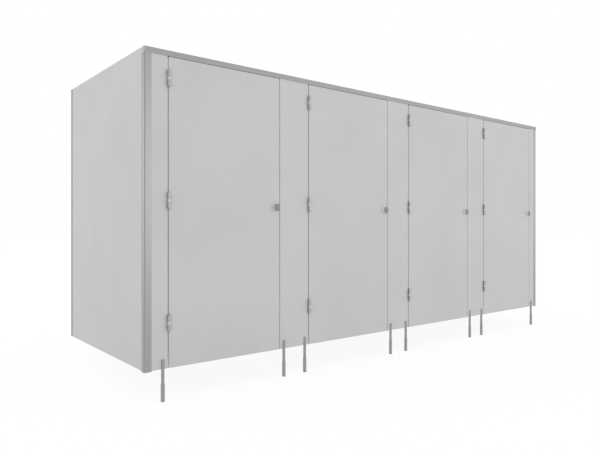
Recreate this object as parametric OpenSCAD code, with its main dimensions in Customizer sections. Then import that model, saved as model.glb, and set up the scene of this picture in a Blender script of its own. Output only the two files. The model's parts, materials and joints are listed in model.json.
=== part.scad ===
// A row of four toilet cubicles, seen from the room with its front towards -Y.
// The wall behind it is the plane y = 0, the floor is z = 0, and x = 0 is the middle of the row.

/* [Row] */
// Width of one door bay, between the centre lines of the gaps beside the door
door_bay_w = 792; // [700:1:1000]
// Width of a middle pilaster, between the centre lines of its two gaps
pilaster_w = 246; // [180:1:400]
// Width at the left end, from the outer face of the corner post to the first gap
left_end_w = 146; // [115:1:300]
// Width at the right end, from the last gap to the outer face of the corner post
right_end_w = 129; // [115:1:300]
// Depth from the wall to the front of the corner posts
row_depth = 1322; // [1000:1:1700]
// Height from the floor to the top of the headrail
row_h = 2000; // [1950:10:2200]
// Clear height under the panels
floor_gap = 184; // [140:1:240]

/* [Panels] */
// Thickness of every panel
panel_t = 18; // [13:1:22]
// Gap on the hinge side of a door
hinge_gap = 8; // [7:0.5:10]
// Gap on the lock side of a door
lock_gap = 5; // [4:0.5:7]
// Gap between a door and the headrail
door_top_gap = 2; // [2:0.5:8]
// Chamfer along the upright edges of a panel
edge_chamfer = 1; // [0.5:0.25:2]

/* [Aluminium profiles] */
// Wall thickness of the profiles
lip_t = 1.8; // [1.5:0.1:2.4]
// Clearance beside a panel in its slot
slot_fit = 0.3; // [0.2:0.05:0.5]
// Outer width of a corner post along the front
post_w = 44; // [40:1:60]
// Outer width of a corner post along the side
post_side_w = 38; // [36:1:60]
// Radius of the outer corner of a post
post_r = 10; // [5:1:11]
// Width of the tapered edge at the mouth of a post's slots
taper_w = 11; // [6:1:14]
// Depth of that taper at the mouth
taper_d = 1; // [0.4:0.1:1.2]
// Distance that the posts reach below the panels
post_drop = 5; // [0:1:10]
// Height of the headrail
rail_h = 33; // [30:1:60]
// Radius along the top edges of the headrail
rail_r = 2; // [0.5:0.5:3]
// Thickness of the cap on each end of the headrail
cap_t = 3; // [2:0.5:4]
// Length of the plug that holds a cap in the headrail
cap_plug_l = 12; // [6:1:16]
// Depth of the wall channels and divider channels
channel_d = 25; // [18:1:40]
// Space behind a panel for the heads of the wall screws
screw_room = 4; // [3:1:8]
// Diameter of the wall screw holes
wall_hole_d = 5.5; // [4.5:0.5:7]
// Distance from the top of a wall channel to its highest screw hole
wall_hole_top = 160; // [100:10:200]
// Height of the lowest wall screw hole
wall_hole_z = 340; // [280:10:360]

/* [Feet] */
// Diameter of a leg
leg_d = 19; // [16:1:26]
// Height of the half round lap on the front of the panel
leg_lap_h = 54; // [45:1:80]
// Distance from a leg's axis to the nearest gap
leg_inset = 34; // [24:1:40]
// Wall thickness of the height adjusting sleeve
sleeve_wall = 2; // [1.5:0.25:3]
// Height of the top of the sleeve
sleeve_top_z = 100; // [70:1:110]
// Height of the lower end of the leg inside the sleeve
leg_end_z = 40; // [30:1:50]
// Thickness of the nylon pad under the sleeve
pad_h = 6; // [5:0.5:10]
// Height of the pad's plug inside the sleeve
pad_plug_h = 12; // [6:1:16]
// Radius of the pad's lower edge
pad_r = 4; // [1:0.5:4.5]
// Diameter of the bolts between leg and panel
leg_bolt_d = 6; // [5:0.5:8]
// Height of the lower bolt above the panel's bottom edge
leg_bolt_z = 15; // [10:1:18]
// Distance between the two bolts of a leg
leg_bolt_step = 25; // [18:1:28]
// Depth that the bolts reach into the leg
leg_bolt_grip = 6; // [4:0.5:6]

/* [Hinges] */
// Height of the centre of the lowest hinge
hinge_low_z = 443; // [380:1:500]
// Distance from the top of a door to the centre of its top hinge
hinge_top_gap = 127; // [80:1:200]
// Diameter of the hinge barrel
barrel_d = 20; // [18:0.5:20]
// Distance of the hinge axis in front of the door's face
barrel_offset = 11; // [10.8:0.1:14]
// Height of the lower knuckle, which the pilaster carries
lower_knuckle_h = 41; // [30:1:60]
// Height of the nylon bush between the knuckles
bush_h = 16; // [8:1:20]
// Height of the upper knuckle, which the door carries
upper_knuckle_h = 38; // [25:1:50]
// Radius of the rounded lower end of the barrel
barrel_end_r = 8; // [2:0.5:8.5]
// Diameter of the hinge pin
hinge_pin_d = 12; // [8:0.5:13]
// Thickness of the hinge leaves
leaf_t = 2.5; // [2:0.1:2.8]
// Width of a hinge leaf on the panel's inner face
leaf_w = 45; // [35:1:55]
// Diameter of the screw holes in the leaves
leaf_hole_d = 5; // [4:0.5:6]

/* [Locks] */
// Height of the lock's spindle above the floor
lock_z = 1117; // [950:1:1150]
// Distance from the spindle to the door's edge
spindle_inset = 33; // [33:1:50]
// Diameter of the outer knob
knob_d = 50; // [40:1:60]
// Distance that the knob stands out from the door
knob_h = 22; // [16:1:35]
// Diameter of the knob's neck
neck_d = 25; // [20:1:30]
// Diameter of the spindle
spindle_d = 10; // [8:0.5:12]
// Distance from the spindle's axis to the crank pin
crank_r = 12; // [11:0.5:13]
// Diameter of the crank pin
crank_pin_d = 5; // [4:0.5:6]
// Height of the bolt's head
bolt_h = 18; // [14:1:20]
// Thickness of the bolt
bolt_t = 8; // [6:0.5:8.5]
// Width of the lock case
case_w = 60; // [60:1:64]
// Depth of the lock case behind the door
case_d = 18; // [17.5:0.5:24]
// Wall thickness of the lock case
case_t = 1.6; // [1.2:0.1:2]
// Length of the thumb turn's wing
wing_l = 40; // [30:1:50]
// Width of the keep on the pilaster
keep_w = 30; // [24:1:40]
// Overlap of the door stop behind the door's edge
stop_overlap = 14; // [10:1:18]
// Thickness of the strip that the door stop is bent from
stop_t = 3.5; // [2.5:0.5:4]
// Thickness of the rubber buffer on the door stop
buffer_t = 3; // [2:0.5:5]

/* [Coat hooks] */
// Height of the coat hook above the floor
hook_z = 1680; // [1300:10:1750]
// Distance from the door to the hook's upturned end
hook_reach = 48; // [35:1:60]
// Diameter of the hook's bar
hook_d = 10; // [8:1:14]

/* [Hidden] */
$fn = 48;
bays = 4;
// Radial clearance of pins, spindles and plugs in their bores
bore_fit = 0.05;
// Clearance between faces that slide past each other
run_fit = 0.3;
// Length added to a cutting shape so that it passes through a face
cut = 1;

row_w = left_end_w + right_end_w + bays * door_bay_w + (bays - 1) * pilaster_w;
x_left = -row_w / 2;
x_right = row_w / 2;
profile_w = panel_t + 2 * (lip_t + slot_fit);
front_y = -row_depth;
face_y = front_y + lip_t + slot_fit;
inner_y = face_y + panel_t;
rail_rear_y = front_y + profile_w;
rail_z = row_h - rail_h;
panel_rear_y = -(lip_t + screw_room);
door_h = rail_z - door_top_gap - floor_gap;
axis_y = face_y - barrel_offset;
hinge_h = lower_knuckle_h + bush_h + upper_knuckle_h;
hinge_top_z = rail_z - door_top_gap - hinge_top_gap;
bush_d = barrel_d - 1;
wall_holes = 4;
wall_hole_step = (row_h - wall_hole_top - wall_hole_z) / (wall_holes - 1);
sleeve_d = leg_d + 2 * bore_fit + 2 * sleeve_wall;
// Screw holes of a hinge leaf: from the panel's edge, from the leaf's outer edge and from its ends
leaf_hole_near = 14;
leaf_hole_far = 10;
leaf_hole_end = 14;
leaf_sink_d = 9;
leaf_sink_depth = 1.2;

// The bolt moves by the crank pin's sideways travel over a quarter turn
bolt_travel = 2 * crank_r * sin(45);
pin_slot_fit = 0.5;
spindle_slot_fit = 0.4;
// Layers behind the door: the crank lies against the door, the bolt behind the crank
crank_y = inner_y + 1.2;
crank_t = 3.5;
bolt_y = crank_y + crank_t + 0.5;
bolt_tail_top = crank_r + crank_pin_d / 2 + pin_slot_fit + 4;
case_low = 28;
case_high = bolt_tail_top + 13;
case_boss_x = case_w / 2 - 8;
case_boss_d = 8;
case_boss_low_z = 7 - case_low;
case_boss_high_z = case_high - 6;
case_hole_d = 4.4;
case_r = 4;
// The keep is a staple that stands 2 mm behind the pilaster's edge, and the stop is above the case
keep_gap = 2;
keep_wall = 11.5;
keep_rear_t = 3.3;
keep_fit = 1.5;
keep_depth = bolt_y + bolt_t + keep_fit + keep_rear_t - inner_y;
keep_h = bolt_h + 2 * keep_fit + 2 * keep_wall;
stop_low = case_high + 4;
stop_h = 22;

function hinge_x(i) = x_left + left_end_w + i * (door_bay_w + pilaster_w);
function lock_x(i) = hinge_x(i) + door_bay_w;
function door_edge_x(i) = lock_x(i) - lock_gap / 2;
function spindle_x(i) = door_edge_x(i) - spindle_inset;
function divider_x(i) = lock_x(i - 1) + pilaster_w / 2;
function post_side(side) = side == 0 ? 1 : -1;

// Legs stand beside every hinge gap and every lock gap, under the pilasters
LEG_X = [for (i = [0:bays - 1]) each [hinge_x(i) - leg_inset, lock_x(i) + leg_inset]];
HINGE_Z = [for (k = [0, 0.5, 1]) hinge_low_z + k * (hinge_top_z - hinge_low_z)];
CHANNEL_X = concat([x_left + profile_w / 2], [for (i = [1:bays - 1]) divider_x(i)], [x_right - profile_w / 2]);
WALL_HOLE_Z = [for (k = [0:wall_holes - 1]) wall_hole_z + k * wall_hole_step];

// Flat shapes that several sub-parts share

module board(size_x, size_y, h) {
  c = edge_chamfer;
  linear_extrude(h)
    polygon([
      [c, 0], [size_x - c, 0], [size_x, c], [size_x, size_y - c],
      [size_x - c, size_y], [c, size_y], [0, size_y - c], [0, c]
    ]);
}

module rounded_rect(w, h, r) {
  translate([r, 0]) square([w - 2 * r, h]);
  translate([0, r]) square([w, h - 2 * r]);
  for (x = [r, w - r], y = [r, h - r]) translate([x, y]) circle(r);
}

// A panel of the front, from one x to another, between the floor gap and the given height
module front_panel(x0, x1, h) {
  translate([x0, face_y, floor_gap]) board(x1 - x0, panel_t, h);
}

// Panels

module side_panel(x_mid, y_front) {
  translate([x_mid - panel_t / 2, y_front, floor_gap])
    board(panel_t, panel_rear_y - y_front, row_h - floor_gap);
}

module end_panel(side) {
  x_mid = (side == 0 ? x_left : x_right) + post_side(side) * profile_w / 2;
  color("#c9c9c7") side_panel(x_mid, rail_rear_y + slot_fit);
}

module divider(i) {
  color("#c6c6c4") side_panel(divider_x(i), rail_rear_y + slot_fit);
}

module pilaster(i) {
  x0 = i == 0 ? x_left + profile_w + slot_fit : lock_x(i - 1) + lock_gap / 2;
  x1 = i == bays ? x_right - profile_w - slot_fit : hinge_x(i) - hinge_gap / 2;
  color("#c3c3c1")
    difference() {
      front_panel(x0, x1, row_h - lip_t - slot_fit - floor_gap);
      leg_bolt_holes(x0, x1);
    }
}

module leg_bolt_holes(x0, x1) {
  for (x = [for (leg = LEG_X) if (leg > x0 && leg < x1) leg], k = [0, 1])
    translate([x, face_y - cut, floor_gap + leg_bolt_z + k * leg_bolt_step])
      rotate([-90, 0, 0])
        cylinder(d = leg_bolt_d + 2 * run_fit, h = panel_t + 2 * cut);
}

module door(i) {
  spindle_hole_d = spindle_d + 4;
  color("#c7c7c5")
    difference() {
      front_panel(hinge_x(i) + hinge_gap / 2, door_edge_x(i), door_h);
      translate([spindle_x(i), face_y - cut, lock_z])
        rotate([-90, 0, 0])
          cylinder(d = spindle_hole_d, h = panel_t + 2 * cut);
    }
}

// Aluminium profiles

module headrail() {
  color("#b0b1b2")
    translate([x_left + cap_t, front_y, rail_z])
      rotate([90, 0, 90])
        linear_extrude(row_w - 2 * cap_t)
          difference() {
            rail_outline();
            translate([lip_t, -cut]) square([profile_w - 2 * lip_t, rail_h - lip_t + cut]);
          }
}

module rail_outline() {
  square([profile_w, rail_h - rail_r]);
  translate([0, rail_h / 2]) rounded_rect(profile_w, rail_h / 2, rail_r);
}

module headrail_caps() {
  plug_w = profile_w - 2 * (lip_t + bore_fit);
  color("#9c9d9e")
    for (side = [0, 1])
      translate([side == 0 ? x_left : x_right, front_y, rail_z])
        mirror([side, 0, 0])
          rotate([90, 0, 90]) {
            linear_extrude(cap_t) rail_outline();
            translate([lip_t + bore_fit, run_fit])
              linear_extrude(cap_t + cap_plug_l)
                square([plug_w, rail_h - lip_t - bore_fit - run_fit]);
          }
}

// Cross-section of a corner post: a hollow corner cell with a slot along the front and one to the rear
module post_section() {
  slot_w = profile_w - 2 * lip_t;
  difference() {
    union() {
      square([post_w, profile_w]);
      square([profile_w, post_side_w]);
    }
    corner_cut(post_r);
    difference() {
      translate([lip_t, lip_t]) square(slot_w);
      translate([lip_t, lip_t]) corner_cut(post_r - lip_t);
    }
    translate([profile_w, lip_t]) square([post_w - profile_w + cut, slot_w]);
    translate([lip_t, profile_w]) square([slot_w, post_side_w - profile_w + cut]);
    polygon([[post_w - taper_w, 0], [post_w + cut, -cut], [post_w + cut, taper_d], [post_w, taper_d]]);
    polygon([[0, post_side_w - taper_w], [-cut, post_side_w + cut], [taper_d, post_side_w + cut], [taper_d, post_side_w]]);
  }
}

module corner_cut(r) {
  difference() {
    translate([-cut, -cut]) square(r + cut);
    translate([r, r]) circle(r);
  }
}

module corner_post(side) {
  bottom = floor_gap - post_drop;
  color("#b4b5b6")
    translate([side == 0 ? x_left : x_right, front_y, bottom])
      mirror([side, 0, 0])
        linear_extrude(rail_z - bottom)
          post_section();
}

// U channel standing upright, open towards -Y, with its back on y = 0
module channel(base_t, h) {
  slot_w = profile_w - 2 * lip_t;
  linear_extrude(h)
    difference() {
      translate([-profile_w / 2, -channel_d]) square([profile_w, channel_d]);
      translate([-slot_w / 2, -channel_d - cut]) square([slot_w, channel_d - base_t + cut]);
    }
}

module wall_channels() {
  color("#a9aaab")
    for (x = CHANNEL_X)
      difference() {
        translate([x, 0, floor_gap]) channel(lip_t, row_h - floor_gap);
        for (z = WALL_HOLE_Z)
          translate([x, cut, z]) rotate([90, 0, 0]) cylinder(d = wall_hole_d, h = lip_t + 2 * cut);
      }
}

module divider_channels() {
  color("#a9aaab")
    for (i = [1:bays - 1])
      translate([divider_x(i), inner_y, floor_gap])
        rotate([0, 0, 180])
          channel(rail_rear_y - inner_y, rail_z - floor_gap);
}

// Feet: each leg laps the front of its pilaster and carries its lower edge

module foot_legs() {
  r = leg_d / 2;
  top_z = floor_gap + leg_lap_h;
  top_chamfer = 1.5;
  hole_depth = leg_bolt_grip + 1;
  color("#979899")
    for (x = LEG_X)
      translate([x, face_y, 0])
        difference() {
          rotate_extrude()
            polygon([[0, leg_end_z], [r, leg_end_z], [r, top_z - top_chamfer], [r - top_chamfer, top_z], [0, top_z]]);
          translate([-r - cut, 0, floor_gap]) cube([leg_d + 2 * cut, r + cut, leg_lap_h + cut]);
          for (k = [0, 1])
            translate([0, -hole_depth, floor_gap + leg_bolt_z + k * leg_bolt_step])
              rotate([-90, 0, 0])
                cylinder(d = leg_bolt_d + 2 * bore_fit, h = hole_depth + cut);
        }
}

module foot_bolts() {
  grip = leg_bolt_grip;
  head_d = 11.4;
  head_h = 3.3;
  crown_d = 7.7;
  rim_h = 1.3;
  color("#8f9091")
    for (x = LEG_X, k = [0, 1])
      translate([x, inner_y, floor_gap + leg_bolt_z + k * leg_bolt_step])
        rotate([-90, 0, 0]) {
          translate([0, 0, -panel_t - grip]) cylinder(d = leg_bolt_d, h = panel_t + grip + head_h / 2);
          rotate_extrude()
            polygon([[0, 0], [head_d / 2, 0], [head_d / 2, rim_h], [crown_d / 2, head_h], [0, head_h]]);
        }
}

module foot_sleeves() {
  top_chamfer = 0.8;
  r = sleeve_d / 2;
  bore_r = leg_d / 2 + bore_fit;
  color("#8e8f90")
    for (x = LEG_X)
      translate([x, face_y, 0])
        rotate_extrude()
          polygon([
            [bore_r, pad_h], [r, pad_h], [r, sleeve_top_z - top_chamfer],
            [r - top_chamfer, sleeve_top_z], [bore_r, sleeve_top_z]
          ]);
}

module foot_pads() {
  r = sleeve_d / 2;
  color("#6f7072")
    for (x = LEG_X)
      translate([x, face_y, 0])
        rotate_extrude() {
          square([r - pad_r, pad_h]);
          translate([0, pad_r]) square([r, pad_h - pad_r]);
          translate([r - pad_r, pad_r]) intersection() {
            circle(pad_r);
            translate([0, -pad_r]) square([pad_r, pad_r]);
          }
          square([leg_d / 2, pad_h + pad_plug_h]);
        }
}

// Hinges: the lower knuckle and its leaf are fixed to the pilaster, the upper ones to the door.
// Each module below draws one hinge with its lower end at z = 0 and its axis at x = 0, y = 0.

module at_hinges(i) {
  for (z = HINGE_Z) translate([hinge_x(i), axis_y, z - hinge_h / 2]) children();
}

// The leaf passes through the gap and turns flat onto the panel's inner face
module leaf_plate(h) {
  near = hinge_gap / 2 - leaf_t;
  far = hinge_gap / 2 + leaf_w;
  depth = barrel_offset + panel_t;
  difference() {
    linear_extrude(h) {
      translate([near, barrel_offset]) square([leaf_t, panel_t + leaf_t]);
      translate([near, depth]) square([far - near, leaf_t]);
    }
    leaf_holes(h, depth);
  }
}

module leaf_holes(h, depth) {
  edge = hinge_gap / 2;
  for (x = [edge + leaf_hole_near, edge + leaf_w - leaf_hole_far], z = [leaf_hole_end, h - leaf_hole_end])
    translate([x, depth, z])
      rotate([-90, 0, 0]) {
        translate([0, 0, -cut]) cylinder(d = leaf_hole_d, h = leaf_t + 2 * cut);
        translate([0, 0, leaf_t - leaf_sink_depth])
          cylinder(d1 = leaf_hole_d, d2 = leaf_sink_d, h = leaf_sink_depth);
        translate([0, 0, leaf_t]) cylinder(d = leaf_sink_d, h = cut);
      }
}

module knuckle_neck(h) {
  translate([hinge_gap / 2 - leaf_t, 0, 0]) cube([leaf_t, barrel_offset, h]);
}

module frame_leaf() {
  r = barrel_d / 2;
  e = barrel_end_r;
  pin_seat_z = 6;
  difference() {
    union() {
      rotate_extrude() {
        translate([0, e]) square([r, lower_knuckle_h - e]);
        square([r - e, e]);
        translate([r - e, e]) intersection() {
          circle(e);
          translate([0, -e]) square([e, e]);
        }
      }
      mirror([1, 0, 0]) {
        translate([0, 0, e]) knuckle_neck(lower_knuckle_h - e);
        leaf_plate(hinge_h);
      }
    }
    translate([0, 0, pin_seat_z]) cylinder(d = hinge_pin_d + 2 * bore_fit, h = hinge_h);
  }
}

module door_leaf() {
  base_z = lower_knuckle_h + bush_h + run_fit;
  difference() {
    union() {
      translate([0, 0, base_z]) cylinder(d = barrel_d, h = upper_knuckle_h);
      translate([0, 0, base_z]) knuckle_neck(upper_knuckle_h);
      translate([0, 0, run_fit]) leaf_plate(hinge_h);
    }
    translate([0, 0, base_z - cut]) cylinder(d = hinge_pin_d + 2 * bore_fit, h = upper_knuckle_h + 2 * cut);
  }
}

module hinge_frame_leaves() {
  color("#8b8c8d") for (i = [0:bays - 1]) at_hinges(i) frame_leaf();
}

module door_hinge_leaves(i) {
  color("#8b8c8d") at_hinges(i) door_leaf();
}

module hinge_pins() {
  foot_z = 6.3;
  color("#9a9b9c")
    for (i = [0:bays - 1]) at_hinges(i)
      translate([0, 0, foot_z]) cylinder(d = hinge_pin_d, h = hinge_h - foot_z - 1);
}

module hinge_bushes() {
  color("#d5d5d3")
    for (i = [0:bays - 1]) at_hinges(i)
      translate([0, 0, lower_knuckle_h])
        difference() {
          cylinder(d = bush_d, h = bush_h);
          translate([0, 0, -cut]) cylinder(d = hinge_pin_d + 2 * bore_fit, h = bush_h + 2 * cut);
        }
}

// Locks: x = 0 and z = 0 are on the spindle's axis. Pieces that turn or lie outside the door
// are drawn with their axis along Z, with the outside up, and then laid towards -Y.

module at_lock(i, y) {
  translate([spindle_x(i), y, lock_z]) children();
}

module outward() {
  rotate([90, 0, 0]) children();
}

module lock_knob(i) {
  rim_r = 3;
  back_z = knob_h - rim_r - 3;
  back_bevel = 2;
  cone_h = 5;
  flange_w = 4;
  flange_t = 2;
  r = knob_d / 2;
  dish = 1;
  dish_d = 20;
  color("#8a8b8c")
    at_lock(i, face_y) outward()
      difference() {
        rotate_extrude() {
          square([neck_d / 2 + flange_w, flange_t]);
          square([neck_d / 2, knob_h - rim_r]);
          polygon([
            [0, back_z - cone_h], [neck_d / 2, back_z - cone_h], [r - back_bevel, back_z],
            [r, back_z + back_bevel], [r, knob_h - rim_r], [0, knob_h - rim_r]
          ]);
          square([r - rim_r, knob_h]);
          translate([r - rim_r, knob_h - rim_r]) intersection() {
            circle(rim_r);
            square(rim_r);
          }
        }
        translate([0, 0, knob_h - dish]) cylinder(d = dish_d, h = dish + cut);
        translate([0, 0, -cut]) cylinder(d = spindle_d + 2 * bore_fit, h = knob_h + 2 * cut);
      }
}

// Spindle with a coin slot outside the door and the crank that drives the bolt, unlocked
module lock_spindle(i) {
  tail_z = face_y - (inner_y + case_d + 8);
  crank_z = face_y - (crank_y + crank_t);
  pin = [-crank_r * sin(45), crank_r * cos(45)];
  pin_reach = bolt_t + 0.2;
  boss_r = spindle_d / 2 + 3;
  coin_slot_w = 1.8;
  coin_slot_d = 3;
  arm_end_d = crank_pin_d + 4;
  arm_w = crank_pin_d + 2;
  color("#a3a4a5")
    at_lock(i, face_y) outward()
      difference() {
        union() {
          translate([0, 0, tail_z]) cylinder(d = spindle_d, h = knob_h - tail_z);
          translate([0, 0, crank_z]) {
            cylinder(r = boss_r, h = crank_t);
            translate(pin) cylinder(d = arm_end_d, h = crank_t);
            rotate([0, 0, 45]) translate([-arm_w / 2, 0]) cube([arm_w, crank_r, crank_t]);
          }
          translate([pin[0], pin[1], crank_z - pin_reach]) cylinder(d = crank_pin_d, h = pin_reach + crank_t / 2);
        }
        translate([-spindle_d, -coin_slot_w / 2, knob_h - coin_slot_d])
          cube([2 * spindle_d, coin_slot_w, coin_slot_d + cut]);
      }
}

module thumb_turn(i) {
  hub_d = spindle_d + 12;
  hub_l = 10;
  wing_w = 8;
  wing_from = 6;
  wing_d = 14;
  color("#85868a")
    at_lock(i, inner_y + case_d + run_fit)
      rotate([-90, 0, 0])
        difference() {
          union() {
            cylinder(d = hub_d, h = hub_l);
            translate([-wing_w / 2, -wing_l / 2, wing_from])
              linear_extrude(wing_d)
                rounded_rect(wing_w, wing_l, wing_w / 2 - 0.5);
          }
          translate([0, 0, -cut]) cylinder(d = spindle_d + 2 * bore_fit, h = cut + 8);
        }
}

// Sliding bolt, drawn back: a tall tail with a slot for the crank pin, and a head that ends
// flush with the door's edge
module lock_bolt(i) {
  slot_x = -bolt_travel / 2;
  half_run = bolt_travel / 2 + spindle_d / 2 + spindle_slot_fit;
  tail_x = slot_x - half_run - 3.5;
  tail_end_x = slot_x + half_run + 3.5;
  pin_half = crank_pin_d / 2 + pin_slot_fit;
  nose = 2;
  color("#b9babb")
    at_lock(i, bolt_y + bolt_t)
      rotate([90, 0, 0])
        linear_extrude(bolt_t)
          difference() {
            union() {
              translate([tail_x, -bolt_h / 2]) square([tail_end_x - tail_x, bolt_h / 2 + bolt_tail_top]);
              polygon([
                [tail_x, -bolt_h / 2], [spindle_inset - nose, -bolt_h / 2], [spindle_inset, -bolt_h / 2 + nose],
                [spindle_inset, bolt_h / 2 - nose], [spindle_inset - nose, bolt_h / 2], [tail_x, bolt_h / 2]
              ]);
            }
            translate([slot_x - half_run, -spindle_d / 2 - spindle_slot_fit])
              square([2 * half_run, spindle_d + 2 * spindle_slot_fit]);
            translate([slot_x - pin_half, 0])
              square([2 * pin_half, crank_r + pin_half]);
          }
}

// Case on the door's inner face, open towards the door, with ribs that guide the bolt
module lock_case(i) {
  left = -case_w / 2;
  inside_d = case_d - case_t;
  rib_from = bolt_y - inner_y - 0.2;
  bosses = [for (x = [-case_boss_x, case_boss_x], z = [case_boss_low_z, case_boss_high_z]) [x, z]];
  color("#7d7e80")
    at_lock(i, inner_y)
      rotate([-90, 0, 0])
        difference() {
          union() {
            difference() {
              translate([left, -case_high]) linear_extrude(case_d) rounded_rect(case_w, case_low + case_high, case_r);
              translate([left + case_t, -case_high + case_t, -cut])
                linear_extrude(inside_d + cut)
                  rounded_rect(case_w - 2 * case_t, case_low + case_high - 2 * case_t, case_r - case_t);
              translate([0, -bolt_h / 2 - run_fit, rib_from - 0.1])
                cube([case_w, bolt_h + 2 * run_fit, bolt_t + 2 * run_fit]);
            }
            for (z = [-bolt_tail_top - run_fit - case_t, bolt_h / 2 + run_fit])
              translate([left + case_t / 2, z, rib_from])
                cube([case_w - case_t, case_t, case_d - rib_from - case_t / 2]);
            for (b = bosses) translate([b[0], -b[1], 0]) cylinder(d = case_boss_d, h = case_d - case_t / 2);
          }
          translate([0, 0, inside_d - cut]) cylinder(d = spindle_d + 2 * bore_fit, h = case_t + 2 * cut);
          for (b = bosses) translate([b[0], -b[1], -cut]) cylinder(d = case_hole_d, h = case_d + 2 * cut);
        }
}

// Keep on the pilaster's inner face: a staple over the path of the bolt, open towards the panel
module lock_keeps() {
  left = lock_gap + keep_gap;
  path_h = bolt_h + 2 * keep_fit;
  color("#7d7e80")
    for (i = [0:bays - 1])
      translate([door_edge_x(i) + left, inner_y, lock_z])
        difference() {
          translate([0, 0, -keep_h / 2]) cube([keep_w, keep_depth, keep_h]);
          translate([-cut, -cut, -path_h / 2]) cube([keep_w + 2 * cut, keep_depth - keep_rear_t + cut, path_h]);
          for (z = [-1, 1] * (keep_h / 2 - keep_wall / 2))
            translate([keep_w / 2, -cut, z]) rotate([-90, 0, 0]) cylinder(d = case_hole_d, h = keep_depth + 2 * cut);
        }
}

// Door stop: a strip that is screwed to the pilaster and cranked to pass behind the door's edge
module door_stops() {
  stand_off = run_fit + buffer_t;
  bend = lock_gap + 3;
  base_end = bend + stand_off + 26;
  end_hole = 7;
  hole_step = 12;
  color("#8b8c8d")
    for (i = [0:bays - 1])
      translate([door_edge_x(i), inner_y, lock_z + stop_low])
        difference() {
          linear_extrude(stop_h)
            polygon([
              [-stop_overlap, stand_off], [bend, stand_off], [bend + stand_off, 0], [base_end, 0],
              [base_end, stop_t], [bend + stand_off + stop_t / 2, stop_t],
              [bend + stop_t / 2, stand_off + stop_t], [-stop_overlap, stand_off + stop_t]
            ]);
          for (x = [base_end - end_hole - hole_step, base_end - end_hole])
            translate([x, -cut, stop_h / 2]) rotate([-90, 0, 0]) cylinder(d = case_hole_d, h = stop_t + 2 * cut);
        }
}

module door_buffers() {
  margin = 1;
  color("#3d3e40")
    for (i = [0:bays - 1])
      translate([door_edge_x(i) - stop_overlap + margin, inner_y + run_fit + buffer_t, lock_z + stop_low + margin])
        rotate([90, 0, 0])
          linear_extrude(buffer_t)
            rounded_rect(stop_overlap - 2 * margin, stop_h - 2 * margin, 3);
}

// Coat hook on the door's inner face

module coat_hook(i) {
  plate_d = 38;
  plate_t = 4;
  plate_rim_h = 2.5;
  plate_bevel = 2;
  upstand = 26;
  end_ball_d = 1.5 * hook_d;
  color("#8a8b8c")
    translate([(hinge_x(i) + lock_x(i)) / 2, inner_y, hook_z]) {
      rotate([-90, 0, 0]) {
        rotate_extrude()
          polygon([
            [0, 0], [plate_d / 2, 0], [plate_d / 2, plate_rim_h],
            [plate_d / 2 - plate_bevel, plate_t], [0, plate_t]
          ]);
        cylinder(d = hook_d, h = hook_reach);
      }
      translate([0, hook_reach, 0]) {
        sphere(d = hook_d);
        cylinder(d = hook_d, h = upstand);
        translate([0, 0, upstand]) sphere(d = end_ball_d);
      }
    }
}

end_panel(0);  // end_panel_left
end_panel(1);  // end_panel_right
divider(1);  // divider_1
divider(2);  // divider_2
divider(3);  // divider_3
pilaster(0);  // pilaster_1
pilaster(1);  // pilaster_2
pilaster(2);  // pilaster_3
pilaster(3);  // pilaster_4
pilaster(4);  // pilaster_5
headrail();
headrail_caps();
corner_post(0);  // corner_post_left
corner_post(1);  // corner_post_right
wall_channels();
divider_channels();
foot_legs();
foot_bolts();
foot_sleeves();
foot_pads();
hinge_frame_leaves();
hinge_pins();
hinge_bushes();
lock_keeps();
door_stops();
door_buffers();
door(0);  // door_1
door(1);  // door_2
door(2);  // door_3
door(3);  // door_4
door_hinge_leaves(0);  // door_1_hinge_leaves
door_hinge_leaves(1);  // door_2_hinge_leaves
door_hinge_leaves(2);  // door_3_hinge_leaves
door_hinge_leaves(3);  // door_4_hinge_leaves
lock_knob(0);  // lock_knob_1
lock_knob(1);  // lock_knob_2
lock_knob(2);  // lock_knob_3
lock_knob(3);  // lock_knob_4
lock_case(0);  // lock_case_1
lock_case(1);  // lock_case_2
lock_case(2);  // lock_case_3
lock_case(3);  // lock_case_4
lock_spindle(0);  // lock_spindle_1
lock_spindle(1);  // lock_spindle_2
lock_spindle(2);  // lock_spindle_3
lock_spindle(3);  // lock_spindle_4
thumb_turn(0);  // thumb_turn_1
thumb_turn(1);  // thumb_turn_2
thumb_turn(2);  // thumb_turn_3
thumb_turn(3);  // thumb_turn_4
lock_bolt(0);  // lock_bolt_1
lock_bolt(1);  // lock_bolt_2
lock_bolt(2);  // lock_bolt_3
lock_bolt(3);  // lock_bolt_4
coat_hook(0);  // coat_hook_1
coat_hook(1);  // coat_hook_2
coat_hook(2);  // coat_hook_3
coat_hook(3);  // coat_hook_4
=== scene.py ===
import json
import math

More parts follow.
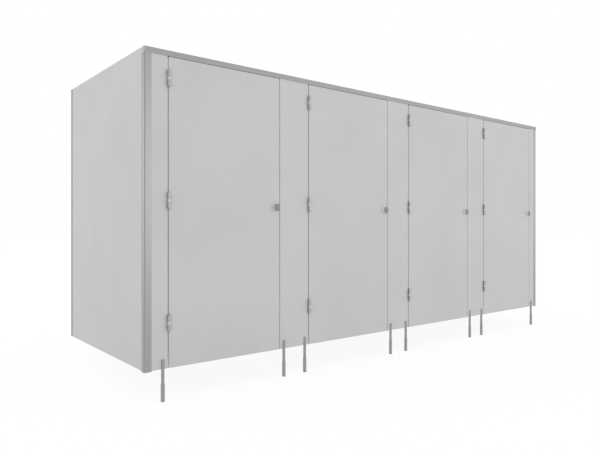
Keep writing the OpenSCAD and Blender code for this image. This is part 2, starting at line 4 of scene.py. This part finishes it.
import bpy
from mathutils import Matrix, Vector

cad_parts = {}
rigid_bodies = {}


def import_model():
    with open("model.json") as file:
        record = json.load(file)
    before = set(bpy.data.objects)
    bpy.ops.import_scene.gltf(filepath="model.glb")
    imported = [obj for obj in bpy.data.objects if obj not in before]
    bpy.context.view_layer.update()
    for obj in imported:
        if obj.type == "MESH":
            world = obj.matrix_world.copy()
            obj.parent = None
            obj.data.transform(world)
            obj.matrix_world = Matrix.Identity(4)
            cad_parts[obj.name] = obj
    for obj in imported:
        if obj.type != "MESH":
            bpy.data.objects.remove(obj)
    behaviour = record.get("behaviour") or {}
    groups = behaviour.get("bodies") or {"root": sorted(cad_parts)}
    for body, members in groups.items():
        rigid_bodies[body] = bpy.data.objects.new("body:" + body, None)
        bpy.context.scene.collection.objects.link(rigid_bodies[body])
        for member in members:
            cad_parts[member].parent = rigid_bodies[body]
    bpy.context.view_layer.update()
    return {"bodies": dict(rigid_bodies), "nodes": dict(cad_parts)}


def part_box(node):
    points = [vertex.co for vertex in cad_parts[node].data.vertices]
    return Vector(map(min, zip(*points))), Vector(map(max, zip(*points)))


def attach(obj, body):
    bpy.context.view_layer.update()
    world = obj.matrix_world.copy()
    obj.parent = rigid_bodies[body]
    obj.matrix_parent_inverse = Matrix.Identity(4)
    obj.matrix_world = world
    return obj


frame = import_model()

# Moving bodies: their turns are kept as quaternions. A door's swing and its lock's quarter turn
# together come close to where Euler angles lose their accuracy.
for body in frame["bodies"].values():
    body.rotation_mode = "QUATERNION"


# Camera: a metre above the floor, before the left corner of the row, looking along its front. The
# place was worked out from the horizon and the two vanishing directions of the photograph.
lens_mm = 33.79
sensor_mm = 36
view_azimuth = math.radians(-38.61)
left_of_post = 1.2738
before_post = 2.9815
above_floor = 1.0022
post_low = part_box("corner_post_left")[0]
camera_data = bpy.data.cameras.new("camera")
camera_data.lens = lens_mm
camera_data.sensor_width = sensor_mm
camera = bpy.data.objects.new("camera", camera_data)
bpy.context.scene.collection.objects.link(camera)
camera.location = (post_low.x - left_of_post, post_low.y - before_post, above_floor)
camera.rotation_euler = (math.radians(90), 0, view_azimuth)
bpy.context.scene.camera = camera
bpy.context.scene.view_settings.view_transform = "Standard"


# Surroundings: a white studio. The world is the soft light that nearly all comes from. One large
# faint lamp over the right shoulder gives the direction, another behind on the left evens the end
# panel, and the floor is white with a faint shadow of the object.
def linear(hex_colour):
    """An sRGB hex colour as linear red, green, blue and alpha."""
    channels = [int(hex_colour[i:i + 2], 16) / 255 for i in (1, 3, 5)]
    light = [c / 12.92 if c <= 0.04045 else ((c + 0.055) / 1.055) ** 2.4 for c in channels]
    return tuple(light) + (1.0,)


def add(tree, kind, links, **settings):
    """One shader node. links gives its inputs, each a plain value or another node's output."""
    node = tree.nodes.new("ShaderNode" + kind)
    for name, value in settings.items():
        setattr(node, name, value)
    for name, value in links.items():
        if isinstance(value, bpy.types.NodeSocket):
            tree.links.new(value, node.inputs[name])
        else:
            node.inputs[name].default_value = value
    return node


def calculate(tree, operation, *values):
    """The result of one operation on values, each a number or another node's output."""
    return add(tree, "Math", dict(enumerate(values)), operation=operation).outputs[0]


def background_ray(tree):
    """1 for the rays that should see the white background: camera, glossy and transmission."""
    ray = add(tree, "LightPath", {}).outputs
    seen = calculate(tree, "MAXIMUM", ray["Is Camera Ray"], ray["Is Glossy Ray"])
    return calculate(tree, "MAXIMUM", seen, ray["Is Transmission Ray"])


world = bpy.data.worlds.new("studio")
world.use_nodes = True
bpy.context.scene.world = world
tree = world.node_tree
tree.nodes.clear()
light = add(tree, "Background", {"Color": linear("#ffffff"), "Strength": 0.82})
white = add(tree, "Background", {"Color": linear("#ffffff"), "Strength": 1.0})
mix = add(tree, "MixShader", {0: background_ray(tree), 1: light.outputs[0], 2: white.outputs[0]})
add(tree, "OutputWorld", {"Surface": mix.outputs[0]})


def soft_lamp(name, place, aim, width, height, watts):
    """A large rectangular lamp at place that points at aim."""
    data = bpy.data.lights.new(name, "AREA")
    data.shape = "RECTANGLE"
    data.size = width
    data.size_y = height
    data.energy = watts
    lamp = bpy.data.objects.new(name, data)
    bpy.context.scene.collection.objects.link(lamp)
    lamp.location = place
    lamp.rotation_euler = (Vector(aim) - Vector(place)).to_track_quat("-Z", "Y").to_euler()


soft_lamp("key_lamp", place=(5.2, -13.5, 2.3), aim=(0.0, -1.3, 0.6),
          width=21.0, height=4.2, watts=370)
soft_lamp("fill_lamp", place=(-12.0, 7.0, 2.6), aim=(-2.1, -0.6, 0.6),
          width=8.0, height=4.6, watts=240)

bpy.ops.mesh.primitive_plane_add(size=80, location=(0, 0, 0))
floor = bpy.context.object
floor.name = "floor"
floor_paint = bpy.data.materials.new("white_floor")
floor_paint.use_nodes = True
tree = floor_paint.node_tree
tree.nodes.clear()
matt = add(tree, "BsdfDiffuse", {"Color": linear("#f8f8f8")})
glow = add(tree, "Emission", {"Color": linear("#ffffff"), "Strength": 0.86})
shade = add(tree, "BsdfDiffuse", {"Color": linear("#747474")})
seen_floor = add(tree, "AddShader", {0: glow.outputs[0], 1: shade.outputs[0]})
mix = add(tree, "MixShader", {
    0: background_ray(tree), 1: matt.outputs[0], 2: seen_floor.outputs[0],
})
add(tree, "OutputMaterial", {"Surface": mix.outputs[0]})
floor.data.materials.append(floor_paint)


# Panels: 18 mm particle board with a pale grey melamine face, pressed against a fine pearl
# texture, so the face is matt with a faint sparkle of shade. The narrow edges have a smoother
# plastic band, painted lighter than the face: painted light that lifts the shade in the narrow
# gaps between the boards.
def new_material(name):
    """A material with an empty node tree, and its object coordinates."""
    material = bpy.data.materials.new(name)
    material.use_nodes = True
    material.node_tree.nodes.clear()
    place = add(material.node_tree, "TexCoord", {})
    return material, material.node_tree, place.outputs["Object"]


def blend(tree, amount, first, second):
    """The colour between first, at an amount of 0, and second, at 1."""
    return add(tree, "Mix", {"Factor": amount, 6: first, 7: second}, data_type="RGBA").outputs[2]


def close_material(tree, shader):
    """Ends a material's tree with its shader."""
    add(tree, "OutputMaterial", {"Surface": shader.outputs[0]})


def dress(nodes, material):
    """Gives CAD nodes a material, and leaves their meshes alone."""
    for name in nodes:
        data = frame["nodes"][name].data
        data.materials.clear()
        data.materials.append(material)


def board(name, thickness_axis):
    """Melamine faced board with banded edges. Its faces look along thickness_axis, X or Y."""
    pearl_mm = 1.6
    cloud_mm = 420
    band_smoother = 0.14
    material, tree, place = new_material(name)
    pearl = add(tree, "TexNoise", {
        "Vector": place, "Scale": 1000 / pearl_mm, "Detail": 3.0, "Roughness": 0.6,
    }).outputs["Fac"]
    cloud = add(tree, "TexNoise", {
        "Vector": place, "Scale": 1000 / cloud_mm, "Detail": 2.0,
    }).outputs["Fac"]
    mean = calculate(tree, "MULTIPLY", calculate(tree, "ADD", pearl, cloud), 0.5)
    face = add(tree, "ValToRGB", {"Fac": mean})
    darkest, lightest = face.color_ramp.elements
    darkest.position = 0.36
    darkest.color = linear("#c5c5c5")
    lightest.position = 0.64
    lightest.color = linear("#cbcbcb")
    normal = add(tree, "SeparateXYZ", {0: place.node.outputs["Normal"]})
    across = calculate(tree, "ABSOLUTE", normal.outputs[thickness_axis])
    # Faces across the thickness are the edges. Their lower roughness is the real smoother band;
    # their lighter grey is painted light against the shade in the gaps between boards.
    edge_band_and_painted_light = calculate(tree, "LESS_THAN", across, 0.5)
    colour = blend(tree, edge_band_and_painted_light, face.outputs["Color"], linear("#d6d6d6"))
    sheen = add(tree, "MapRange", {"Value": pearl, "To Min": 0.5, "To Max": 0.62})
    rough = calculate(tree, "MULTIPLY_ADD", edge_band_and_painted_light, -band_smoother, sheen.outputs[0])
    bump = add(tree, "Bump", {"Height": pearl, "Strength": 0.12, "Distance": 0.0001})
    shader = add(tree, "BsdfPrincipled", {
        "Base Color": colour, "Roughness": rough, "IOR": 1.5,
        "Specular IOR Level": 0.25, "Normal": bump.outputs[0],
    })
    close_material(tree, shader)
    return material


bays = (1, 2, 3, 4)
dividers = (1, 2, 3)
pilasters = (1, 2, 3, 4, 5)
dress(["end_panel_left", "end_panel_right"] + [f"divider_{k}" for k in dividers],
      board("pale_grey_melamine_side_board", "X"))
dress([f"pilaster_{k}" for k in pilasters] + [f"door_{k}" for k in bays],
      board("pale_grey_melamine_front_board", "Y"))


# Profiles: extruded aluminium, etched and anodised natural. The die leaves fine lines along
# each bar, which anodising softens to a satin. Upright bars and the headrail differ in direction.
def anodised(name, tone, run):
    """Satin anodised aluminium whose die lines run along run, one of X, Y and Z."""
    line_mm = 1.1
    streak_mm = 7
    length_mm = 900
    material, tree, place = new_material(name)
    marks = []
    for width_mm in (line_mm, streak_mm):
        scale = [1000 / (length_mm if axis == run else width_mm) for axis in "XYZ"]
        stretch = add(tree, "Mapping", {"Vector": place, "Scale": scale})
        mark = add(tree, "TexNoise", {"Vector": stretch.outputs[0], "Scale": 1.0, "Detail": 3.0})
        marks.append(mark.outputs["Fac"])
    both = calculate(tree, "ADD", marks[0], marks[1])
    worn = add(tree, "MapRange", {"Value": both, "From Min": 0.55, "From Max": 1.45}).outputs[0]
    colour = blend(tree, worn, linear(tone[0]), linear(tone[1]))
    rough = add(tree, "MapRange", {"Value": worn, "To Min": 0.3, "To Max": 0.44})
    bump = add(tree, "Bump", {"Height": marks[0], "Strength": 0.2, "Distance": 0.0001})
    shader = add(tree, "BsdfPrincipled", {
        "Base Color": colour, "Metallic": 0.9, "Roughness": rough.outputs[0],
        "Normal": bump.outputs[0],
    })
    close_material(tree, shader)
    return material


dress(["corner_post_left", "corner_post_right", "wall_channels", "divider_channels"],
      anodised("natural_anodised_upright_profile", ("#959595", "#9f9fa0"), "Z"))
dress(["headrail"], anodised("natural_anodised_headrail", ("#8f9092", "#999a9c"), "X"))


# Headrail caps: moulded polypropylene plugs pushed into the open ends of the headrail. They are
# a little lighter than the aluminium, with the fine grain of a spark-eroded mould.
def moulded(name, tone, grain_mm, rough, depth_mm):
    """Moulded plastic with a spark-eroded grain."""
    material, tree, place = new_material(name)
    grain = add(tree, "TexNoise", {
        "Vector": place, "Scale": 1000 / grain_mm, "Detail": 2.0, "Roughness": 0.55,
    }).outputs["Fac"]
    colour = blend(tree, grain, linear(tone[0]), linear(tone[1]))
    sheen = add(tree, "MapRange", {
        "Value": grain, "To Min": rough - 0.05, "To Max": rough + 0.07,
    })
    bump = add(tree, "Bump", {"Height": grain, "Strength": 0.25, "Distance": depth_mm / 1000})
    shader = add(tree, "BsdfPrincipled", {
        "Base Color": colour, "Roughness": sheen.outputs[0], "IOR": 1.49,
        "Normal": bump.outputs[0],
    })
    close_material(tree, shader)
    return material


dress(["headrail_caps"],
      moulded("grey_polypropylene_cap", ("#b4b4b5", "#bababb"), 0.8, 0.5, 0.1))


# Feet: satin anodised aluminium legs and sleeves, turned from bar, on moulded nylon pads. The
# bolts between leg and panel have the same finish.
def turned(name, tone, line_mm, rough):
    """Metal turned on a lathe or brushed round an upright axis. The real rings are a tenth of a
    millimetre apart, and are drawn coarser here so that they show."""
    side_scale = 30
    material, tree, place = new_material(name)
    stretch = add(tree, "Mapping", {
        "Vector": place, "Scale": (side_scale, side_scale, 1000 / line_mm),
    })
    rings = add(tree, "TexNoise", {
        "Vector": stretch.outputs[0], "Scale": 1.0, "Detail": 2.0,
    }).outputs["Fac"]
    colour = blend(tree, rings, linear(tone[0]), linear(tone[1]))
    sheen = add(tree, "MapRange", {
        "Value": rings, "To Min": rough - 0.05, "To Max": rough + 0.05,
    })
    bump = add(tree, "Bump", {"Height": rings, "Strength": 0.15, "Distance": 0.0001})
    shader = add(tree, "BsdfPrincipled", {
        "Base Color": colour, "Metallic": 0.8, "Roughness": sheen.outputs[0],
        "Normal": bump.outputs[0],
    })
    close_material(tree, shader)
    return material


dress(["foot_legs", "foot_sleeves", "foot_bolts"],
      turned("satin_aluminium_foot", ("#949494", "#9c9c9c"), 0.7, 0.35))
dress(["foot_pads"], moulded("grey_nylon_pad", ("#858586", "#8c8c8d"), 0.9, 0.55, 0.1))


# Hinges: leaves and pins with a satin nickel finish, and between the two knuckles of each hinge
# a pale nylon bush, which shows as a light band on the barrel.
hinge_metal = turned("satin_nickel_hinge", ("#a2a2a4", "#b0b0b2"), 0.9, 0.38)
dress(["hinge_frame_leaves", "hinge_pins"] + [f"door_{k}_hinge_leaves" for k in bays], hinge_metal)
dress(["hinge_bushes"], moulded("pale_nylon_bush", ("#c4c4c2", "#cececc"), 0.7, 0.42, 0.05))


# Hinge screws: countersunk stainless security screws, two up and two down each leaf. Their rims
# stand a tenth of a millimetre out of the leaf. Each has a round socket with a pin, so that an
# ordinary driver doesn't fit.
def select_faces(piece, wanted):
    """Enters edit mode with only the faces selected that wanted(centre, normal) accepts."""
    if bpy.context.mode != "OBJECT":
        bpy.ops.object.mode_set(mode="OBJECT")
    mesh = piece.data
    for part in (mesh.vertices, mesh.edges, mesh.polygons):
        part.foreach_set("select", [False] * len(part))
    for face in mesh.polygons:
        face.select = wanted(face.center, face.normal)
    bpy.context.tool_settings.mesh_select_mode = (False, False, True)
    bpy.ops.object.mode_set(mode="EDIT")


def step_face(inset, out):
    """Insets the selected face, then moves it out along +Z, or in if out is negative."""
    bpy.ops.mesh.inset(thickness=inset, depth=0)
    bpy.ops.mesh.extrude_region_move(TRANSFORM_OT_translate={"value": (0, 0, out)})


def security_screw(diameter, height, dome):
    """One screw head that stands on z = 0, with its socket up."""
    bevel_w = diameter * 0.16
    rim_w = diameter * 0.06
    socket_depth = height * 0.45
    pin_gap = diameter * 0.13
    pin_h = height * 0.3
    bpy.ops.object.select_all(action="DESELECT")
    bpy.ops.mesh.primitive_cylinder_add(vertices=28, radius=diameter / 2, depth=height,
                                        location=(0, 0, height / 2))
    head = bpy.context.object
    bpy.ops.object.transform_apply(location=True, rotation=True, scale=True)
    select_faces(head, lambda centre, normal: normal.z > 0.9)
    bpy.ops.mesh.inset(thickness=bevel_w, depth=dome)
    step_face(rim_w, -socket_depth)
    step_face(pin_gap, pin_h)
    bpy.ops.object.mode_set(mode="OBJECT")
    bpy.ops.object.shade_smooth_by_angle(angle=math.radians(35))
    return head


def copies(model, name, spots, body, material):
    """One piece made of copies of model, which rides on body. Each spot is x, y, z and the
    direction that the head faces: +Y, +X or -X."""
    quarter = math.radians(90)
    turns = {"+Y": (-quarter, 0, 0), "+X": (0, quarter, 0), "-X": (0, -quarter, 0)}
    parts = []
    for x, y, z, facing in spots:
        part = model.copy()
        part.data = model.data.copy()
        bpy.context.scene.collection.objects.link(part)
        part.location = (x, y, z)
        part.rotation_euler = turns[facing]
        parts.append(part)
    bpy.ops.object.select_all(action="DESELECT")
    for part in parts:
        part.select_set(True)
    bpy.context.view_layer.objects.active = parts[0]
    bpy.ops.object.join()
    joined = bpy.context.object
    bpy.ops.object.transform_apply(location=True, rotation=True, scale=True)
    joined.name = name
    joined.data.materials.clear()
    joined.data.materials.append(material)
    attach(joined, body)


screw_steel = turned("stainless_screw", ("#98989a", "#a4a4a6"), 0.4, 0.3)
barrel_r = 0.010
hinge_h = 0.095
hinge_step = 0.6975
hinges_per_door = 3
leaf_hole_x = (0.018, 0.039)
leaf_hole_end = 0.014
leaf_screw_sink = 0.0011
leaf_screw = security_screw(diameter=0.0086, height=0.0012, dome=0.0003)
hinge_x = {k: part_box(f"door_{k}_hinge_leaves")[0].x + barrel_r for k in bays}
leaves_low, leaves_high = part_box("door_1_hinge_leaves")
leaf_screw_y = leaves_high.y - leaf_screw_sink
leaf_screw_z = [leaves_low.z + n * hinge_step + up for n in range(hinges_per_door)
                for up in (leaf_hole_end, hinge_h - leaf_hole_end)]
frame_spots = [(hinge_x[k] - x, leaf_screw_y, z, "+Y")
               for k in bays for x in leaf_hole_x for z in leaf_screw_z]
copies(leaf_screw, "hinge_screws_frame", frame_spots, "frame", screw_steel)
for k in bays:
    door_spots = [(hinge_x[k] + x, leaf_screw_y, z, "+Y")
                  for x in leaf_hole_x for z in leaf_screw_z]
    copies(leaf_screw, f"hinge_screws_door_{k}", door_spots, f"door_{k}",
           screw_steel)
bpy.data.objects.remove(leaf_screw)


# Locks: stainless knobs and spindles with turned faces, and on the inner side zinc plated bolts
# and grey moulded cases, thumb turns and keeps. The door stops have the hinges' finish, with
# black rubber buffers on them.
ring_mm = 0.9
knob_low, knob_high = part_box("lock_knob_1")
bay_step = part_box("lock_knob_2")[0].x - knob_low.x
knob_metal, tree, place = new_material("satin_stainless_turned_face")
spot = add(tree, "SeparateXYZ", {0: place})
from_first = calculate(tree, "SUBTRACT", spot.outputs["X"], (knob_low.x + knob_high.x) / 2)
side = calculate(tree, "WRAP", from_first, bay_step / 2, -bay_step / 2)
up = calculate(tree, "SUBTRACT", spot.outputs["Z"], (knob_low.z + knob_high.z) / 2)
arm = add(tree, "CombineXYZ", {"X": side, "Z": up})
radius = add(tree, "VectorMath", {0: arm.outputs[0]}, operation="LENGTH")
rings = add(tree, "TexNoise", {
    "W": radius.outputs["Value"], "Scale": 1000 / ring_mm, "Detail": 2.0,
}, noise_dimensions="1D").outputs["Fac"]
face = blend(tree, rings, linear("#747475"), linear("#868688"))
# The rim and back of each knob and the sides of its spindle, which face sideways or towards the
# door and lie in the knob's shade, are painted near white: painted light that lifts that shade.
facing = add(tree, "SeparateXYZ", {0: place.node.outputs["Normal"]})
knob_back_painted_light = add(tree, "MapRange", {"Value": facing.outputs["Y"], "From Min": -0.5, "From Max": 0.0})
colour = blend(tree, knob_back_painted_light.outputs[0], face, linear("#f0f0f0"))
sheen = add(tree, "MapRange", {"Value": rings, "To Min": 0.34, "To Max": 0.5})
bump = add(tree, "Bump", {"Height": rings, "Strength": 0.2, "Distance": 0.0001})
shader = add(tree, "BsdfPrincipled", {
    "Base Color": colour, "Metallic": 0.45, "Roughness": sheen.outputs[0],
    "Normal": bump.outputs[0],
})
close_material(tree, shader)
dress([f"lock_{part}_{k}" for part in ("knob", "spindle") for k in bays], knob_metal)
dress([f"lock_bolt_{k}" for k in bays],
      turned("bright_zinc_plated_bolt", ("#a6a8aa", "#b8babc"), 1.2, 0.32))
dress([f"{part}_{k}" for part in ("lock_case", "thumb_turn") for k in bays] + ["lock_keeps"],
      moulded("grey_abs_case", ("#79797b", "#808082"), 0.8, 0.48, 0.1))
dress(["door_stops"], hinge_metal)
dress(["door_buffers"],
      moulded("black_rubber_buffer", ("#3a3a3b", "#404041"), 1.0, 0.7, 0.15))


# Lock screws: button-head security screws, four through each case, two through each keep and two
# through the foot of each door stop, into the board.
button = security_screw(diameter=0.0074, height=0.0016, dome=0.0006)
case_screw_x = 0.022
case_screw_up = 0.007
case_screw_down = 0.006
moulding_sink = 0.0008
keep_screw_x = 0.022
keep_screw_z = 0.01625
stop_screw_x = (0.0183, 0.0303)
stop_t = 0.0035
button_sink = 0.0002
keep_low, keep_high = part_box("lock_keeps")
keep_z = (keep_low.z + keep_high.z) / 2
stop_low, stop_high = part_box("door_stops")
stop_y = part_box("door_1")[1].y + stop_t - button_sink
stop_z = (stop_low.z + stop_high.z) / 2
keep_spots = []
for k in bays:
    low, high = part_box(f"lock_case_{k}")
    middle_x = (low.x + high.x) / 2
    case_spots = [(middle_x + x, high.y - moulding_sink, z, "+Y")
                  for x in (-case_screw_x, case_screw_x)
                  for z in (low.z + case_screw_up, high.z - case_screw_down)]
    copies(button, f"case_screws_{k}", case_spots, f"door_{k}", screw_steel)
    edge_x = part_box(f"door_{k}")[1].x
    keep_spots += [(edge_x + keep_screw_x, keep_high.y - moulding_sink, keep_z + z, "+Y")
                   for z in (-keep_screw_z, keep_screw_z)]
    keep_spots += [(edge_x + x, stop_y, stop_z, "+Y") for x in stop_screw_x]
copies(button, "keep_screws", keep_spots, "frame", screw_steel)


# Channel and headrail fixings: the same button heads, through the legs of the channels on both
# sides of a divider and on the inner side of an end panel, and through the headrail's rear leg
# into the pilasters.
fixing_low = 0.12
fixing_step = 0.395
wall_fixings = 5
front_fixings = 4
front_fixing_back = 0.002
rail_screw_x = 0.07
end_rail_screw_x = 0.02
channel_low, channel_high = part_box("wall_channels")
front_low, front_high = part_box("divider_channels")
rail_low, rail_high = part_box("headrail")
half_profile = (rail_high.y - rail_low.y) / 2
wall_y = (channel_low.y + channel_high.y) / 2
front_y = (front_low.y + front_high.y) / 2 + front_fixing_back
rail_z = (rail_low.z + rail_high.z) / 2
fixing_z = [channel_low.z + fixing_low + n * fixing_step for n in range(wall_fixings)]
channel_panels = [("end_panel_left", ("+X",)), ("end_panel_right", ("-X",))]
channel_panels += [(f"divider_{k}", ("+X", "-X")) for k in dividers]
channel_spots = []
for panel, facings in channel_panels:
    low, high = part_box(panel)
    middle_x = (low.x + high.x) / 2
    for facing in facings:
        x = middle_x + (half_profile if facing == "+X" else -half_profile)
        channel_spots += [(x, wall_y, z, facing) for z in fixing_z]
        if len(facings) == 2:
            channel_spots += [(x, front_y, z, facing) for z in fixing_z[:front_fixings]]
rail_steps = {k: (-rail_screw_x, rail_screw_x) for k in pilasters[1:-1]}
rail_steps[pilasters[0]] = (end_rail_screw_x,)
rail_steps[pilasters[-1]] = (-end_rail_screw_x,)
for k in pilasters:
    low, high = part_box(f"pilaster_{k}")
    middle_x = (low.x + high.x) / 2
    channel_spots += [(middle_x + step, rail_high.y, rail_z, "+Y") for step in rail_steps[k]]
copies(button, "channel_screws", channel_spots, "frame", screw_steel)


# Coat hooks: cast zinc with the hinges' satin nickel finish. Two button heads, one on each side of
# the bar, hold the round plate to the door's inner face.
plate_r = 0.019
plate_t = 0.004
plate_screw_x = 0.0118
dress([f"coat_hook_{k}" for k in bays], hinge_metal)
for k in bays:
    low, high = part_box(f"coat_hook_{k}")
    middle_x = (low.x + high.x) / 2
    hook_spots = [(middle_x + x, low.y + plate_t - button_sink, low.z + plate_r, "+Y")
                  for x in (-plate_screw_x, plate_screw_x)]
    copies(button, f"coat_hook_screws_{k}", hook_spots, f"door_{k}",
           screw_steel)
bpy.data.objects.remove(button)
